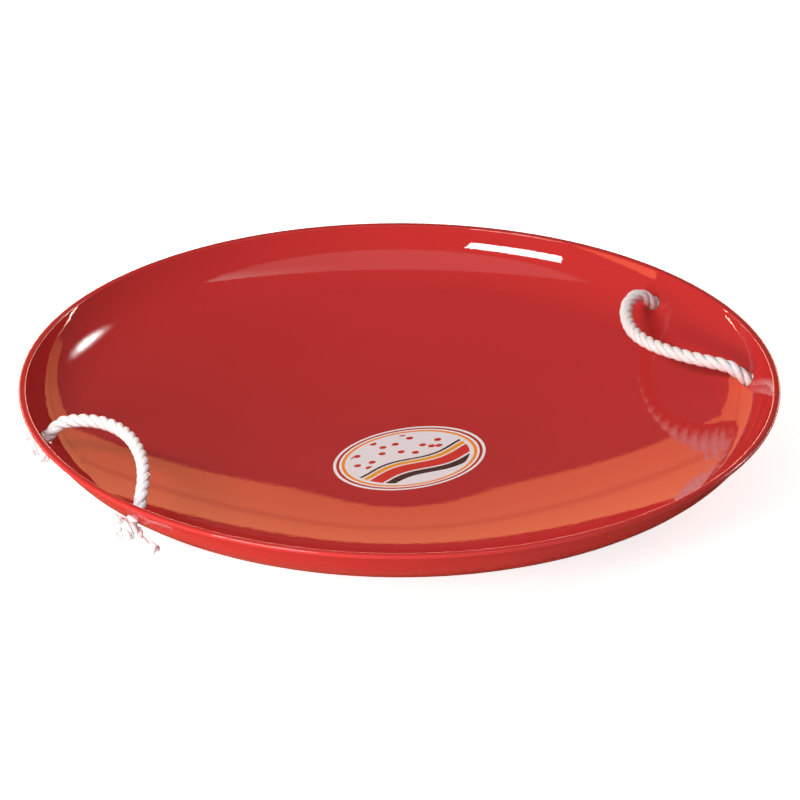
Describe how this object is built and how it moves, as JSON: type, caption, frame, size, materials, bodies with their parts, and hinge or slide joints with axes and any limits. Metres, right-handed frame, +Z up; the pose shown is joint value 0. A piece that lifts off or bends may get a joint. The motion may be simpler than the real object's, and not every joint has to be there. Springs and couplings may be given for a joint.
{
  "type": "saucer sled",
  "caption": "Round dished steel snow saucer with a rolled rim, twisted rope handles knotted through the wall and an oval label in the middle of the floor.",
  "frame": {"origin": "under the middle of the floor, on the ground plane", "axes": "+Z up along the pan's axis, +X through the middle of the right handle, +Y to the rear"},
  "size_m": [0.6604, 0.6604, 0.0924],
  "materials": {
    "pan_enamel": "gloss red enamel baked on pressed steel",
    "label_film": "printed film sticker, white with red and orange rings",
    "rope_fibre": "white three-strand twisted synthetic rope"
  },
  "bodies": {
    "pan": {"pan": "pan_enamel", "label": "label_film", "right_rear_knot": "rope_fibre", "right_front_knot": "rope_fibre", "left_rear_knot": "rope_fibre", "left_front_knot": "rope_fibre"},
    "right_handle": {"right_handle_rope": "rope_fibre"},
    "left_handle": {"left_handle_rope": "rope_fibre"}
  },
  "joints": [
    {"name": "right_handle_swing", "type": "hinge", "parent": "pan", "child": "right_handle", "pos_m": [0.29227, 0, 0.06439], "axis": [0, 1, 0], "range_deg": [-30, 85]},
    {"name": "left_handle_swing", "type": "hinge", "parent": "pan", "child": "left_handle", "pos_m": [-0.29227, 0, 0.06439], "axis": [0, -1, 0], "range_deg": [-65, 52]}
  ]
}
